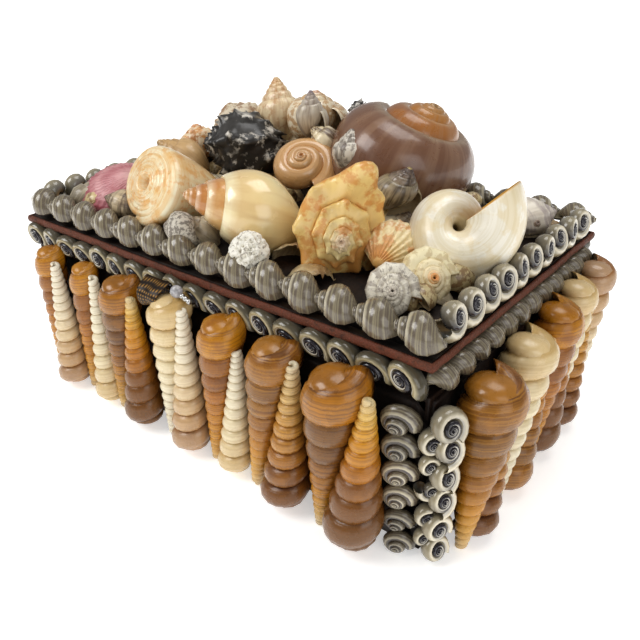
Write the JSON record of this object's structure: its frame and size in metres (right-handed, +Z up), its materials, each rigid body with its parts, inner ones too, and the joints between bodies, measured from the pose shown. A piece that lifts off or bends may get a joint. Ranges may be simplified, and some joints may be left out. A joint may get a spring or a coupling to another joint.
{
  "type": "shell-covered keepsake box",
  "caption": "Rectangular lidded trinket box covered with sea shells: upright turret shells round the sides, small snail shells along the edges and a heap of mixed shells on the lid.",
  "frame": {"origin": "centre of the case's underside, the plane it stands on", "axes": "+X along the long side to the right of someone facing the front, +Y from the front to the back, +Z up"},
  "size_m": [0.339, 0.2282, 0.1746],
  "materials": {
    "board": "matt dark stained board",
    "leather": "matt worn strip",
    "ribbon": "woven, slight sheen",
    "glass": "polished",
    "periwinkle": "glossy natural shell",
    "turret": "glossy natural shell",
    "shell": "natural shell"
  },
  "bodies": {
    "root": {"back_cone": "shell", "back_turrets": "turret", "back_whelk": "shell", "banded_snail": "shell", "black_murex": "shell", "box_case": "board", "branched_murex": "shell", "brown_snail": "shell", "cone_shell": "shell", "coral_ball": "shell", "corner_snails_back": "periwinkle", "corner_snails_front": "periwinkle", "crusted_conch": "shell", "crusted_whelk": "shell", "dark_nassa": "shell", "drupe_shell": "shell", "frog_shell": "shell", "front_turret_01": "turret", "front_turret_02": "turret", "front_turret_03": "turret", "front_turret_04": "turret", "front_turret_05": "turret", "front_turret_06": "turret", "front_turret_07": "turret", "front_turret_08": "turret", "front_turret_09": "turret", "front_turret_10": "turret", "front_turret_11": "turret", "front_turret_12": "turret", "front_turret_13": "turret", "front_turret_14": "turret", "grey_nassa": "shell", "grey_spire": "shell", "left_turrets": "turret", "lid_board": "board", "lid_edging": "leather", "lid_snails_back": "periwinkle", "lid_snails_front": "periwinkle", "lid_snails_left": "periwinkle", "lid_snails_right": "periwinkle", "moon_snail": "shell", "net_nassa": "shell", "net_whelk": "shell", "orange_drupe": "shell", "painted_nassa": "shell", "pink_scallop": "shell", "ribbed_shell": "shell", "ribbon_tab": "ribbon", "right_turrets": "turret", "right_whelk": "shell", "rim_snails_back": "periwinkle", "rim_snails_front": "periwinkle", "rim_snails_left": "periwinkle", "rim_snails_right": "periwinkle", "speckled_globe": "shell", "spired_strombus": "shell", "tab_beads": "glass", "tan_whelk": "shell", "white_turban": "shell", "yellow_conch": "shell"}
  },
  "joints": []
}
